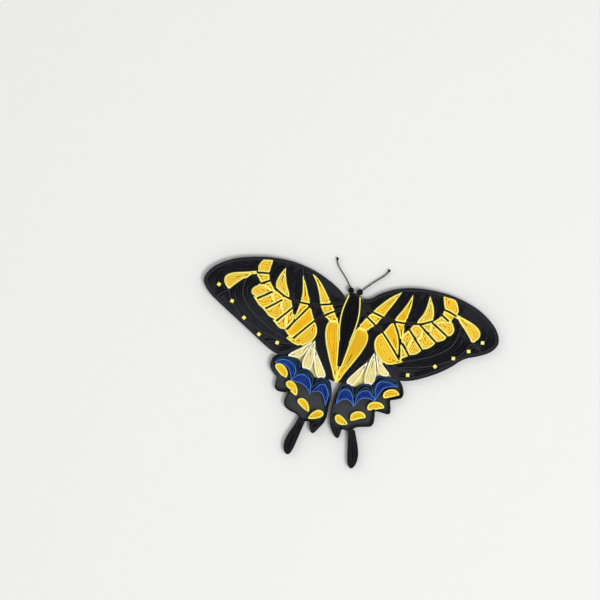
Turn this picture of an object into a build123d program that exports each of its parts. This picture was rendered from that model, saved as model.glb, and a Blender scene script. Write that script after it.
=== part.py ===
from build123d import *
import os
from dataclasses import dataclass
from math import cos, radians

# Quilled paper butterfly, lying on its back sheet. The body runs along Y with the head at +Y, the wings
# spread along X, and +Z points out of the paper. The origin is on the body's centre line, at the
# underside of the back sheet. Sizes are in millimetres.

# Driving dimensions
WINGSPAN = 107.0
STRIP_HEIGHT = 3.0
SHEET_THICKNESS = 0.3
TINTED_SHEET_THICKNESS = 0.2
FIT = 0.05

FOREWING_RIM_WIDTH = 0.9
HINDWING_RIM_WIDTH = 0.5
VEIN_WIDTH = 0.45
SIDE_STRIP_WIDTH = 0.4
DIAMOND_SIDE = 1.2
DIAMOND_THICKNESS = 0.3
EYE_RADIUS = 1.1
EYE_TURN_WIDTH = 0.3
ANTENNA_WIDTH = 0.3
ANTENNA_HEIGHT = 1.5
CLUB_RADIUS = 0.45

TURN_DEPTH = 0.4
TURN_GROOVE_WIDTH = 0.2
OUTER_TURNS_SHARE = 0.76
TURN_STEP_SHARE = 0.2
PINCH_PULL = 0.25

CUT_SHARE = 0.28
CORNER_CUTS = 1
FOREWING_CORNER_CUTS = 2

# Worked out from them
DRAWN_WINGSPAN = 107.0
UNIT = WINGSPAN / DRAWN_WINGSPAN
SEAT = SHEET_THICKNESS
CREAM_SEAT = SEAT + TINTED_SHEET_THICKNESS
TOP = SEAT + STRIP_HEIGHT


@dataclass
class Coil:
    """A wound and pinched coil: its outline from the pinch on, and how many turn lines it shows."""

    corners: list
    turns: int = 0


# Outlines, drawn for DRAWN_WINGSPAN. x runs outwards from the body's centre line and y towards the head.
# Corners are soft, but the ones with a third number are pinched or cut and stay sharp.
RIGHT = dict(
    forewing_rim=[(2.9, 17.4), (5.3, 17.0), (9.0, 20.9), (17.5, 24.8), (28.5, 25.9), (39.0, 24.6),
                  (48.0, 20.8), (53.8, 14.8), (52.9, 9.6), (47.0, 6.1), (42.6, 4.6), (38.6, -0.1),
                  (31.5, -5.1), (24.5, -8.4), (20.0, -8.4), (14.8, -4.0)],
    forewing_root=[(10.6, -3.4), (8.2, 2.0), (8.2, 6.6), (3.0, 6.6)],
    hindwing_rim=[(22.6, -8.6), (24.0, -10.0), (25.3, -13.9), (22.8, -15.3), (20.7, -16.0, 0),
                  (21.4, -18.5), (21.9, -21.2), (18.8, -20.9), (16.2, -20.9, 0), (16.7, -23.0),
                  (16.9, -26.5), (13.8, -27.3), (10.4, -28.2), (9.6, -30.2), (8.0, -30.0), (6.2, -29.9, 0),
                  (6.2, -32.0), (5.5, -34.0), (3.0, -31.6), (1.2, -28.2), (0.9, -22.0), (1.1, -17.5),
                  (2.4, -13.9)],
    hindwing_top=[(5.3, -12.0), (9.0, -4.0), (14.0, -1.5), (20.5, -6.5)],
    tail_coil=[Coil([(8.5, -29.8, 0), (9.0, -32.0), (10.2, -38.0), (11.1, -42.0), (13.0, -43.2),
                     (14.4, -40.0), (13.9, -36.0), (11.4, -30.4), (10.9, -29.1, 0)], 2)],
    inner_streak_coils=[
        Coil([(16.1, 22.5, 0), (12.0, 19.7), (7.2, 13.4), (11.4, 12.1), (14.3, 18.2)], 1),
        Coil([(7.5, 13.1), (6.1, 11.3), (9.4, 9.0), (11.5, 12.2)], 1),
        Coil([(5.8, 10.9), (3.4, 6.4), (6.9, 6.3), (9.2, 8.6)], 1),
    ],
    middle_streak_coils=[
        Coil([(20.0, 23.0, 0), (18.5, 18.0), (15.3, 12.3), (19.4, 12.2), (20.6, 18.5)], 1),
        Coil([(19.2, 7.0, 0), (15.9, 11.7), (19.5, 11.9)]),
        Coil([(20.4, -0.6, 0), (16.0, 3.8), (12.8, 7.3), (15.1, 11.6), (18.9, 6.4), (20.2, 0.9)], 1),
    ],
    fan_coil=[Coil([(12.8, 7.1, 0), (10.7, 4.9), (10.8, 1.3), (13.2, -2.4), (17.0, -3.9), (21.5, -1.6, 0),
                    (16.0, 3.2)], 2)],
    horn_coil=[Coil([(25.8, 23.6, 0), (25.6, 17.5), (23.2, 13.2), (26.5, 13.5), (29.2, 15.5),
                     (28.2, 20.0)], 1)],
    band_coils=[
        Coil([(20.2, 4.9, 0), (23.4, 1.2), (22.0, 0.1), (20.6, -0.8)]),
        Coil([(21.4, 10.0), (20.0, 7.2), (20.5, 4.9), (22.2, 3.2), (23.2, 7.8)]),
        Coil([(27.5, 4.1, 0), (23.4, 7.8), (22.4, 3.0), (23.8, 1.2), (26.2, 2.1)], 1),
        Coil([(24.9, 13.0), (23.4, 13.1), (21.4, 10.6), (24.4, 7.4), (26.2, 8.2), (25.8, 11.8)], 1),
        Coil([(26.1, 11.6), (26.4, 7.8), (24.8, 7.2), (27.8, 4.2), (30.0, 5.2), (31.8, 7.7)], 1),
        Coil([(28.3, 12.8, 0), (27.9, 14.3), (25.2, 13.0), (27.0, 11.7), (28.8, 11.5)]),
        Coil([(29.4, 14.2), (28.9, 10.7), (31.8, 8.1), (34.3, 8.9), (35.0, 10.6)], 1),
        Coil([(30.0, 14.4), (34.9, 11.2), (36.2, 10.9), (37.5, 13.5), (35.9, 15.6), (33.6, 15.9)], 1),
    ],
    costal_coils=[
        Coil([(30.1, 24.7), (33.6, 25.1), (36.6, 22.6), (37.2, 19.0), (32.3, 20.1), (31.7, 22.0)], 1),
        Coil([(32.3, 19.7), (31.7, 18.1), (34.2, 16.3), (36.5, 18.6)], 1),
        Coil([(29.5, 14.8, 0), (30.6, 14.5), (34.0, 16.4, 0), (32.0, 17.7)]),
    ],
    apical_coil=[Coil([(36.0, 18.9, 0), (40.0, 18.4), (45.8, 16.4), (46.9, 12.8), (44.2, 10.6),
                       (41.9, 13.2), (39.5, 16.2)], 2)],
    veins=[
        [(3.0, 14.4), (7.6, 13.3), (13.4, 11.9), (19.6, 11.9), (25.8, 13.3), (28.9, 15.2)],
        [(3.2, 12.6), (6.1, 11.1), (9.4, 8.9), (12.9, 7.1), (20.7, -1.2)],
        [(15.7, 11.5), (19.1, 6.7), (20.1, 0.4)],
        [(24.8, 12.8), (31.7, 8.0)],
        [(21.5, 10.3), (27.7, 4.1)],
        [(20.3, 4.9), (23.6, 1.1)],
        [(29.5, 14.3), (35.1, 11.0)],
        [(31.9, 20.0), (34.3, 19.6), (36.8, 18.7)],
        [(31.4, 18.1), (34.5, 16.3)],
    ],
    leading_edge_coil=[Coil([(3.2, 14.6), (3.2, 17.2), (5.3, 17.0), (9.0, 20.6), (16.3, 24.0),
                             (16.0, 22.4), (12.0, 19.7), (7.6, 13.5)])],
    wedge_coils=[
        Coil([(16.1, 22.4), (16.6, 24.4), (20.0, 25.0), (20.0, 23.0), (18.5, 18.0), (15.4, 12.1),
              (11.2, 12.5), (14.3, 18.2)], 1),
        Coil([(20.0, 23.0), (20.2, 25.2), (26.0, 25.5), (25.8, 23.5), (25.6, 17.5), (23.4, 13.0),
              (19.6, 12.1), (20.6, 18.5)], 1),
        Coil([(25.8, 23.5), (26.2, 25.5), (30.8, 25.5), (30.3, 24.6), (31.8, 20.2), (31.7, 18.0),
              (29.5, 15.0), (28.8, 15.4), (28.2, 20.0)], 1),
        Coil([(3.2, 14.2), (7.5, 13.2), (6.1, 11.3), (3.3, 12.8)]),
        Coil([(3.3, 12.3), (5.8, 10.9), (3.4, 6.8)]),
        Coil([(11.4, 12.2), (15.2, 11.6), (14.8, 11.2), (12.8, 7.3), (9.5, 9.0)]),
        Coil([(19.7, 11.7), (22.9, 12.4), (21.4, 10.4), (20.0, 8.2)]),
    ],
    apex_coil=[Coil([(36.4, 19.4), (36.4, 22.8), (33.8, 25.2), (39.0, 24.4), (48.0, 20.5), (53.4, 14.8),
                     (52.6, 9.8), (49.2, 7.4), (43.9, 11.4), (46.9, 12.8), (45.8, 16.4), (40.0, 18.4)])],
    crescent_coils=[
        Coil([(36.7, 18.4), (39.0, 15.8), (38.9, 9.6), (34.9, 4.6), (28.0, 0.8), (21.6, -1.6),
              (20.7, -1.0), (23.8, 1.1), (27.8, 4.0), (32.0, 7.8), (35.4, 10.8), (37.4, 13.5),
              (35.9, 15.8)]),
        Coil([(38.8, 16.2), (41.9, 13.0), (44.3, 10.4), (40.9, 4.4), (34.4, 0.2), (27.1, -2.6),
              (18.0, -4.4), (21.6, -1.7), (28.1, 0.7), (35.1, 4.6), (39.0, 9.6)]),
    ],
    margin_coils=[
        Coil([(43.8, 11.2), (49.0, 7.2), (42.6, 4.7), (38.6, 0.0), (31.5, -5.0), (27.3, -7.2),
              (26.6, -5.0), (19.6, -4.0), (27.3, -2.5), (34.5, 0.3), (40.8, 4.6)]),
        Coil([(15.0, -4.2), (18.3, -4.4), (26.8, -5.0), (27.3, -7.3), (24.4, -8.4), (20.0, -8.3)]),
    ],
    inner_margin_coil=[Coil([(9.4, 8.7), (12.7, 7.0), (10.3, 5.0), (10.3, 1.2), (11.4, -0.9), (9.2, -4.8),
                             (4.2, -12.0), (2.2, -14.6, 0), (1.4, -12.8), (5.0, -6.0), (8.0, 0.6),
                             (8.1, 4.9), (7.0, 6.5)])],
    diamonds=[(47.8, 11.5, 8), (43.7, 7.4, 20), (39.0, 3.7, 8), (33.3, -0.6, 55), (24.6, -5.8, 10)],
    flank_coil=[Coil([(0.6, -13.9, 0), (1.9, -2.0), (2.8, 5.5), (5.2, 6.6), (7.7, 4.8), (7.6, 0.6),
                      (4.9, -6.0)], 3)],
    side_strip=[(1.9, 17.3), (2.6, 14.4), (3.2, 10.0), (2.7, 4.5), (1.9, 0.2)],
    cream_coils=[
        Coil([(9.8, -4.6, 0), (7.0, -7.9), (3.9, -12.3), (4.4, -14.4), (6.9, -13.9), (8.9, -9.0)], 1),
        Coil([(11.3, -0.9, 0), (10.2, -4.0), (9.7, -10.4), (10.8, -12.8), (13.8, -11.6), (13.4, -6.6)], 1),
        Coil([(11.9, -1.1, 0), (14.9, -3.8), (19.0, -7.6), (15.0, -8.3), (13.7, -6.4)], 1),
    ],
    cream_ground=[(11.5, -0.9, 0), (19.1, -7.8, 0), (14.4, -8.1), (12.8, -11.0), (13.2, -12.4, 0),
                  (9.5, -12.4), (7.6, -14.2, 0), (4.2, -14.0), (4.6, -11.8), (9.0, -5.0)],
    dark_arc_coils=[
        Coil([(14.2, -15.9, 0), (13.1, -10.8), (15.0, -8.2), (19.0, -8.0), (22.6, -9.6), (21.6, -10.4, 0),
              (17.2, -8.8), (14.7, -11.0)]),
        Coil([(7.9, -18.2, 0), (8.0, -14.3), (10.2, -12.0), (13.3, -12.1), (15.0, -16.4, 0), (12.8, -13.9),
              (10.2, -13.6)]),
        Coil([(1.6, -18.2, 0), (2.2, -14.8), (4.6, -13.3), (6.8, -14.6), (7.9, -18.2, 0), (5.8, -15.5),
              (3.9, -15.4)]),
    ],
    blue_arc_coils=[
        Coil([(15.4, -17.4, 0), (14.1, -12.0), (16.7, -9.3), (22.4, -10.7, 0), (18.2, -11.4),
              (16.4, -14.0)]),
        Coil([(8.7, -21.0, 0), (8.5, -16.4), (11.4, -14.0), (14.0, -15.4), (15.9, -17.6, 0), (12.4, -16.9),
              (9.8, -18.0)]),
        Coil([(2.2, -21.8, 0), (2.1, -17.4), (4.8, -15.2), (7.4, -17.2), (8.6, -21.4, 0), (6.4, -18.9),
              (3.6, -19.6)]),
    ],
    halfmoon_coils=[
        Coil([(17.6, -15.0), (18.1, -13.1), (20.6, -11.7), (22.7, -12.3), (23.6, -13.8), (21.3, -14.3),
              (18.5, -15.9)], 1),
        Coil([(13.1, -20.3), (13.8, -18.3), (16.4, -17.4), (18.4, -17.9), (19.4, -19.2), (17.3, -19.8),
              (14.1, -21.5)], 1),
        Coil([(7.9, -25.2), (8.6, -23.2), (11.1, -22.1), (13.0, -22.7), (13.7, -24.1), (11.8, -24.6),
              (8.7, -26.5)], 1),
        Coil([(2.7, -26.5), (3.4, -25.1), (5.1, -25.2), (8.0, -27.5), (7.3, -28.3), (4.2, -28.5)], 1),
    ],
    lobe_coil=[Coil([(5.5, -33.2), (2.4, -28.9), (3.4, -29.0), (5.6, -29.6), (5.9, -31.6)], 1)],
    strands=dict(
        apex_coil=[[(37.4, 22.6), (45.8, 18.9), (50.6, 14.6), (50.3, 10.6), (48.4, 8.8)]],
        crescent_coils=[
            [(37.6, 17.0), (38.5, 12.4), (36.6, 8.2), (32.2, 4.6), (26.8, 1.9), (22.2, -0.4)],
            [(40.4, 14.0), (41.8, 10.6), (38.6, 5.8), (33.4, 1.8), (27.2, -1.0), (21.6, -2.8)],
        ],
        margin_coils=[[(46.6, 7.4), (42.0, 3.0), (37.4, -1.4), (31.2, -4.6), (28.0, -6.0)]],
        inner_margin_coil=[[(9.5, 6.6), (9.1, 3.0), (9.2, -0.6), (6.6, -6.0), (3.2, -11.4)]],
        blue_arc_coils=[
            [(14.9, -14.8), (15.5, -11.8), (17.4, -10.2), (20.6, -10.8)],
            [(8.9, -18.6), (10.4, -15.8), (12.8, -15.4), (14.6, -16.8)],
            [(2.6, -19.2), (3.6, -17.0), (5.8, -16.9), (7.6, -19.4)],
        ],
    ),
    antenna=[(1.7, 19.5), (4.8, 23.2), (7.8, 26.0), (9.1, 27.6), (9.7, 28.8)],
    eye=(1.3, 18.9),
)
LEFT = dict(
    forewing_rim=[(2.9, 15.8), (6.0, 18.4), (12.0, 21.4), (19.0, 23.6), (28.0, 24.4), (38.0, 22.9),
                  (48.2, 19.2), (54.5, 12.6), (52.8, 7.6), (46.0, 3.4), (37.0, -1.6), (30.0, -5.6),
                  (24.0, -9.0), (20.2, -9.6), (14.2, -4.7)],
    forewing_root=[(9.8, -4.0), (8.0, 2.0), (7.6, 6.6), (3.2, 6.8)],
    hindwing_rim=[(22.4, -9.6), (23.8, -10.9), (24.0, -14.2), (21.5, -16.5), (20.4, -17.2, 0),
                  (20.6, -19.0), (20.3, -21.8), (17.5, -22.1), (15.3, -21.4, 0), (15.6, -22.6),
                  (16.3, -26.2), (13.2, -28.0), (10.0, -28.3), (9.2, -30.2), (7.4, -30.3), (5.5, -29.8, 0),
                  (5.1, -32.0), (3.6, -34.4), (2.0, -31.8), (-0.2, -28.2), (0.1, -23.0), (-0.1, -18.0),
                  (1.6, -14.4)],
    hindwing_top=[(4.6, -12.0), (8.8, -4.0), (13.0, -2.0), (20.5, -7.5)],
    tail_coil=[Coil([(7.0, -30.2, 0), (7.5, -32.6), (8.4, -38.0), (9.2, -42.0), (10.7, -43.6),
                     (12.7, -41.2), (12.5, -37.0), (10.5, -32.6), (9.6, -29.2, 0)], 2)],
    inner_streak_coils=[
        Coil([(17.0, 21.8, 0), (13.4, 20.0), (7.8, 13.0), (11.4, 11.6), (13.9, 18.0)], 1),
        Coil([(7.5, 12.7), (6.0, 10.3), (9.6, 8.3), (11.3, 11.4)], 1),
        Coil([(6.0, 10.2), (3.8, 6.9), (6.8, 6.5), (9.3, 7.9)], 1),
    ],
    middle_streak_coils=[
        Coil([(20.1, 21.0, 0), (17.7, 16.8), (15.1, 11.1), (18.2, 10.8), (18.7, 15.5)], 1),
        Coil([(18.6, 4.8, 0), (15.1, 10.3), (18.5, 10.4)]),
        Coil([(18.4, -2.3), (16.0, 0.9), (12.3, 5.4), (14.7, 10.2), (18.3, 4.5), (21.2, 0.0),
              (20.6, -1.6)], 1),
    ],
    fan_coil=[Coil([(12.2, 5.4, 0), (10.6, 3.0), (10.6, -0.5), (12.8, -3.3), (16.0, -4.6), (20.3, -2.6, 0),
                    (15.0, 1.6)], 2)],
    horn_coil=[Coil([(26.2, 21.3, 0), (25.2, 16.6), (22.4, 11.8), (26.0, 11.8), (28.8, 14.0),
                     (28.1, 18.4)], 1)],
    band_coils=[
        Coil([(20.9, 7.9, 0), (20.0, 4.8), (20.4, 1.2), (21.4, 1.4), (22.4, 5.6)]),
        Coil([(27.0, 2.4, 0), (25.2, 2.3), (22.6, 5.6), (21.6, 1.2), (22.2, -0.4), (24.2, 0.0),
              (25.5, 1.3)], 1),
        Coil([(24.6, 10.4), (22.3, 11.3), (20.8, 8.3), (23.0, 5.8), (24.9, 7.6)], 1),
        Coil([(25.1, 9.6), (25.2, 7.4), (23.4, 5.4), (25.6, 2.6), (28.4, 3.0), (29.8, 4.6),
              (31.6, 5.7, 0), (30.2, 5.6)], 1),
        Coil([(27.4, 10.6, 0), (27.0, 12.6), (25.2, 10.2), (26.4, 9.1), (28.6, 9.8), (28.8, 12.0)]),
        Coil([(28.9, 11.8), (28.7, 9.4), (26.8, 8.8), (30.3, 5.7), (32.6, 5.8), (33.7, 7.4),
              (35.6, 8.9, 0), (33.9, 8.7)], 1),
        Coil([(29.2, 12.1), (34.0, 8.7), (36.4, 9.4), (36.4, 12.0), (33.2, 13.8), (31.4, 12.9)], 1),
    ],
    costal_coils=[
        Coil([(31.1, 22.2), (32.4, 23.9), (35.2, 22.4), (36.5, 17.9), (31.6, 18.3), (31.7, 20.5)], 1),
        Coil([(31.8, 17.9), (30.9, 15.9), (33.6, 14.0), (36.0, 17.4)], 1),
        Coil([(28.7, 12.3, 0), (31.2, 13.1), (33.2, 14.0, 0), (30.8, 15.8)]),
    ],
    apical_coil=[Coil([(35.7, 17.4, 0), (40.0, 16.6), (46.0, 15.0), (47.2, 11.8), (44.4, 9.0),
                       (41.8, 12.2), (39.0, 15.4)], 2)],
    veins=[
        [(3.0, 14.4), (7.6, 12.7), (12.4, 11.2), (18.4, 10.5), (24.6, 11.4), (28.2, 13.6)],
        [(3.2, 12.4), (6.1, 10.3), (9.4, 8.2), (12.4, 5.4), (18.2, -2.4)],
        [(15.1, 10.0), (18.5, 4.7), (21.3, 0.2)],
        [(25.0, 10.1), (30.2, 5.6)],
        [(20.9, 8.1), (25.4, 2.3)],
        [(29.0, 12.1), (33.9, 8.5)],
        [(31.6, 18.2), (36.2, 17.6)],
        [(30.8, 15.8), (33.9, 13.9)],
    ],
    leading_edge_coil=[Coil([(3.3, 14.6), (3.4, 15.9), (6.0, 18.2), (12.0, 21.2), (17.2, 23.0),
                             (16.9, 21.8), (13.4, 20.0), (7.8, 12.9)])],
    wedge_coils=[
        Coil([(17.1, 21.8), (17.6, 23.2), (20.4, 23.8), (20.1, 21.0), (17.7, 16.8), (15.1, 11.2),
              (11.4, 11.8), (13.9, 18.0)], 1),
        Coil([(20.1, 21.0), (20.6, 23.8), (26.2, 24.2), (26.2, 21.2), (25.2, 16.6), (22.6, 11.6),
              (18.4, 10.8), (18.7, 15.5)], 1),
        Coil([(26.2, 21.2), (26.5, 24.2), (31.2, 24.0), (31.3, 22.2), (31.6, 18.2), (30.9, 15.8),
              (28.6, 13.0), (28.2, 13.8), (28.1, 18.4)], 1),
        Coil([(3.2, 14.1), (7.5, 12.6), (6.0, 10.4), (3.3, 12.6)]),
        Coil([(3.3, 12.0), (6.0, 10.1), (3.8, 7.2)]),
        Coil([(11.4, 11.4), (14.8, 10.8), (14.5, 9.9), (12.3, 5.6), (9.6, 8.3)]),
        Coil([(18.6, 10.3), (21.9, 10.8), (20.8, 8.4), (19.0, 6.2)]),
    ],
    apex_coil=[Coil([(36.0, 17.9), (36.2, 20.4), (32.8, 23.6), (38.0, 22.8), (48.2, 19.0), (54.2, 12.6),
                     (52.5, 7.8), (48.8, 5.2), (43.9, 9.8), (47.2, 11.8), (46.0, 15.0), (40.0, 16.6)])],
    crescent_coils=[
        Coil([(36.2, 17.0), (39.0, 15.0), (39.8, 9.4), (36.0, 4.4), (29.0, 0.0), (21.6, -2.8),
              (18.4, -2.5), (25.5, 2.0), (30.4, 5.2), (34.0, 8.2), (36.3, 11.0), (33.6, 13.9)]),
        Coil([(38.8, 15.4), (41.9, 12.0), (44.5, 8.8), (41.9, 4.4), (36.2, -0.4), (28.1, -3.2),
              (17.2, -4.9), (21.6, -2.9), (29.1, -0.1), (36.2, 4.4), (39.9, 9.4)]),
    ],
    margin_coils=[
        Coil([(43.8, 9.6), (48.6, 5.0), (46.0, 3.5), (37.0, -1.5), (30.0, -5.5), (27.0, -7.0),
              (26.2, -5.0), (18.8, -4.8), (28.2, -3.1), (36.4, -0.3), (41.8, 4.5)]),
        Coil([(14.3, -4.8), (17.4, -5.0), (26.4, -5.1), (27.1, -7.2), (24.0, -8.8), (20.2, -9.5)]),
    ],
    inner_margin_coil=[Coil([(9.5, 7.8), (12.3, 5.4), (10.2, 3.0), (10.1, -0.6), (10.5, -1.3), (8.9, -4.8),
                             (4.0, -12.0), (1.4, -14.6, 0), (0.9, -12.6), (4.7, -5.4), (7.4, 0.6),
                             (7.8, 5.2), (7.0, 6.9)])],
    diamonds=[(48.1, 10.1, 20), (42.2, 5.4, 8), (36.7, 0.6, 28), (30.2, -3.9, 30), (23.2, -5.3, 8)],
    flank_coil=[Coil([(0.3, -13.0, 0), (2.0, -1.0), (3.2, 6.3), (5.8, 6.9), (7.4, 5.2), (7.0, 0.6),
                      (4.6, -5.4)], 3)],
    side_strip=[(2.4, 17.1), (3.1, 14.0), (3.6, 10.0), (3.1, 4.5), (2.0, 0.2)],
    cream_coils=[
        Coil([(10.0, -3.8, 0), (7.2, -7.6), (3.5, -12.2), (4.4, -14.3), (7.0, -13.9), (8.8, -9.0)], 1),
        Coil([(10.3, -1.5, 0), (9.6, -4.0), (8.9, -10.0), (10.4, -12.6), (13.2, -11.4), (12.2, -6.0)], 1),
        Coil([(10.9, -1.9, 0), (14.0, -4.8), (18.6, -8.4), (17.6, -9.5), (13.8, -8.5), (12.4, -6.0)], 1),
    ],
    cream_ground=[(10.5, -1.5, 0), (18.6, -8.2), (17.4, -9.2, 0), (14.4, -8.9), (12.6, -11.0),
                  (12.6, -12.0, 0), (9.0, -12.2), (7.4, -14.2, 0), (4.2, -14.0), (4.2, -11.8),
                  (8.8, -5.2)],
    dark_arc_coils=[
        Coil([(14.2, -15.2, 0), (12.9, -10.8), (14.6, -8.9), (18.8, -8.9), (22.8, -11.0), (22.0, -11.7, 0),
              (18.0, -10.2), (14.7, -11.2)]),
        Coil([(7.2, -18.8, 0), (7.9, -14.2), (10.2, -11.7), (12.6, -12.1), (14.2, -15.8, 0), (11.8, -13.9),
              (9.4, -14.2)]),
        Coil([(0.6, -20.2, 0), (0.9, -16.0), (4.0, -13.3), (6.4, -14.0), (7.2, -18.4, 0), (5.4, -15.2),
              (3.2, -15.4)]),
    ],
    blue_arc_coils=[
        Coil([(15.2, -17.2, 0), (13.8, -13.2), (16.6, -10.6), (20.4, -10.4), (22.6, -12.3, 0),
              (18.2, -12.0), (16.2, -14.4)]),
        Coil([(7.6, -20.6, 0), (7.9, -16.2), (10.8, -13.9), (13.6, -14.6), (15.2, -17.2, 0), (12.0, -17.2),
              (9.6, -18.0)]),
        Coil([(1.4, -23.2, 0), (0.7, -18.9), (4.0, -14.6), (7.3, -19.6, 0), (4.8, -18.4), (2.8, -19.8)]),
    ],
    halfmoon_coils=[
        Coil([(16.9, -16.4), (17.1, -14.3), (19.3, -12.3), (21.6, -12.4), (22.1, -13.6), (20.5, -15.2),
              (17.9, -17.0)], 1),
        Coil([(12.0, -21.4), (12.6, -18.9), (14.7, -17.2), (16.4, -17.5), (17.0, -18.9), (15.4, -20.4),
              (12.5, -22.2)], 1),
        Coil([(6.5, -26.2), (7.3, -23.8), (9.3, -22.3), (11.1, -22.7), (11.5, -24.1), (9.6, -25.4),
              (6.9, -26.9)], 1),
        Coil([(1.0, -26.3), (2.0, -25.1), (4.1, -25.1), (6.6, -28.4), (5.9, -29.1), (2.2, -27.9)], 1),
    ],
    lobe_coil=[Coil([(3.7, -33.6), (1.3, -29.4), (2.6, -29.4), (4.6, -29.9), (4.6, -31.9)], 1)],
    strands=dict(
        apex_coil=[[(37.4, 20.8), (46.2, 17.4), (51.2, 12.4), (50.4, 8.6), (48.6, 7.0)]],
        crescent_coils=[
            [(37.6, 15.2), (38.2, 10.8), (35.2, 6.4), (30.4, 3.0), (24.6, -0.2), (20.6, -2.0)],
            [(40.4, 13.2), (42.0, 9.4), (39.4, 5.0), (34.2, 0.9), (27.4, -1.9), (21.0, -3.5)],
        ],
        margin_coils=[[(46.2, 6.0), (41.4, 2.6), (36.2, -0.6), (29.0, -4.6)]],
        inner_margin_coil=[[(9.2, 5.6), (8.8, 2.2), (8.7, -1.4), (6.4, -6.2), (2.9, -11.4)]],
        blue_arc_coils=[
            [(14.7, -15.0), (15.8, -12.2), (18.0, -11.1), (20.8, -11.5)],
            [(8.2, -18.6), (10.2, -15.8), (12.2, -15.4), (13.9, -16.4)],
            [(1.5, -20.4), (3.0, -17.1), (4.8, -16.9), (6.2, -18.4)],
        ],
    ),
    antenna=[(1.9, 19.5), (4.4, 22.8), (7.5, 25.6), (8.7, 27.3), (9.2, 28.7)],
    eye=(1.9, 18.8),
)
ABDOMEN = Coil([(0.0, -7.0, 0), (1.3, -3.0), (1.6, 1.0), (2.5, 7.0), (2.3, 13.0), (1.2, 17.6), (-1.6, 17.6),
                (-2.4, 13.0), (-2.7, 7.0), (-1.7, 1.0), (-1.4, -3.0)], 3)
BODY_SHEET = [(0.3, -14.4), (5.3, -13.0), (12.0, -6.0), (12.0, 8.0), (4.0, 12.0), (3.0, 16.0), (1.6, 18.2),
              (-1.9, 18.2), (-3.0, 16.0), (-4.0, 12.0), (-12.0, 8.0), (-11.0, -6.0), (-5.3, -13.0)]
NECK_ROOT = (0.0, 14.0)

# Coils that are laid later fill the room that the earlier ones leave.
LAYING_ORDER = (
    "flank_coil", "inner_streak_coils", "middle_streak_coils", "fan_coil", "horn_coil", "band_coils",
    "costal_coils", "apical_coil", "tail_coil", "lobe_coil", "halfmoon_coils", "blue_arc_coils",
    "dark_arc_coils", "leading_edge_coil", "wedge_coils", "crescent_coils", "margin_coils", "apex_coil",
    "inner_margin_coil",
)


def softened(points, cuts):
    """An outline with each soft corner cut back along its sides, as often as asked; pinched ones stay."""
    for _ in range(cuts):
        cut = []
        for index, here in enumerate(points):
            if len(here) > 2:
                cut.append(here)
                continue
            x, y = here
            for there in (points[index - 1], points[(index + 1) % len(points)]):
                cut.append((x + CUT_SHARE * (there[0] - x), y + CUT_SHARE * (there[1] - y)))
        points = cut
    return points


def placed(points, across, eye=(0.0, 0.0), share=1.0):
    """Outline points on one side of the body, drawn in towards an eye by a share of their distance."""
    scaled = []
    for point in points:
        x = eye[0] + share * (point[0] - eye[0])
        y = eye[1] + share * (point[1] - eye[1])
        scaled.append(Vector(across * UNIT * x, UNIT * y))
    return scaled


def patch(points, across=1, cuts=CORNER_CUTS, eye=(0.0, 0.0), share=1.0):
    """The flat shape inside a closed outline."""
    with BuildSketch(mode=Mode.PRIVATE) as drawing:
        with BuildLine():
            Polyline(*placed(softened(points, cuts), across, eye, share), close=True)
        make_face()
    return drawing.sketch


def beside(places, width):
    """The other side of a strip: each point of its route moved square to it, with mitred corners."""
    moved = []
    for index, here in enumerate(places):
        after = places[index + 1] - here if index < len(places) - 1 else here - places[index - 1]
        before = here - places[index - 1] if index else after
        square = (before.normalized() + after.normalized()).normalized().rotate(Axis.Z, -90)
        moved.append(here + square * (width / cos(radians(before.get_angle(after)) / 2)))
    return moved


def band(points, across, width, cuts=CORNER_CUTS):
    """The flat shape of a strip stood on edge, with its outer side along an open route."""
    ends = [(*points[0], 0), *points[1:-1], (*points[-1], 0)]
    route = placed(softened(ends, cuts), across)
    with BuildSketch(mode=Mode.PRIVATE) as drawing:
        with BuildLine():
            Polyline(*route, *reversed(beside(route, across * width)), close=True)
        make_face()
    return drawing.sketch


def grown(shape, amount):
    """A flat shape made larger all round."""
    with BuildSketch(mode=Mode.PRIVATE) as drawing:
        add(shape)
        offset(amount=amount, kind=Kind.INTERSECTION)
    return drawing.sketch


def apart(shape, other):
    """Whether two flat shapes' boxes lie clear of each other."""
    one, two = shape.bounding_box(), other.bounding_box()
    across_x = one.max.X < two.min.X or two.max.X < one.min.X
    return across_x or one.max.Y < two.min.Y or two.max.Y < one.min.Y


def fitted(shape, taken):
    """What is left of a flat shape beside those already laid, without loose scraps."""
    with BuildSketch(mode=Mode.PRIVATE) as drawing:
        add(shape)
        for other in taken:
            if not apart(shape, other):
                add(other, mode=Mode.SUBTRACT)
    return drawing.sketch.faces().sort_by(SortBy.AREA)[-1]


def settled(shape, taken):
    """The flat shape that a piece gets beside those laid before it, and its own room kept from the next."""
    fit = fitted(shape, taken)
    taken.append(grown(shape, FIT))
    return fit


def laid(coils, across, taken):
    """Flat shapes of coils laid one after another."""
    return [settled(patch(coil.corners, across), taken) for coil in coils]


def eye_of(coil):
    """Where a coil's strip starts: near its middle, pulled towards the pinch."""
    x = sum(corner[0] for corner in coil.corners) / len(coil.corners)
    y = sum(corner[1] for corner in coil.corners) / len(coil.corners)
    pinch_x, pinch_y = coil.corners[0][:2]
    return x + PINCH_PULL * (pinch_x - x), y + PINCH_PULL * (pinch_y - y)


def turn_lines(coil, across):
    """The sunk rings between a coil's turns, and its sunk heart where their number is odd."""
    eye = eye_of(coil)
    with BuildSketch(mode=Mode.PRIVATE) as drawing:
        for turn in range(coil.turns):
            share = OUTER_TURNS_SHARE - TURN_STEP_SHARE * turn
            ring = patch(coil.corners, across, eye=eye, share=share)
            add(ring, mode=Mode.SUBTRACT if turn % 2 else Mode.ADD)
    return drawing.sketch


def write(builder, name):
    """Label a finished sub-part and write its file."""
    builder.part.label = name
    export_step(builder.part, f"parts/{name}.step")


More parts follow.
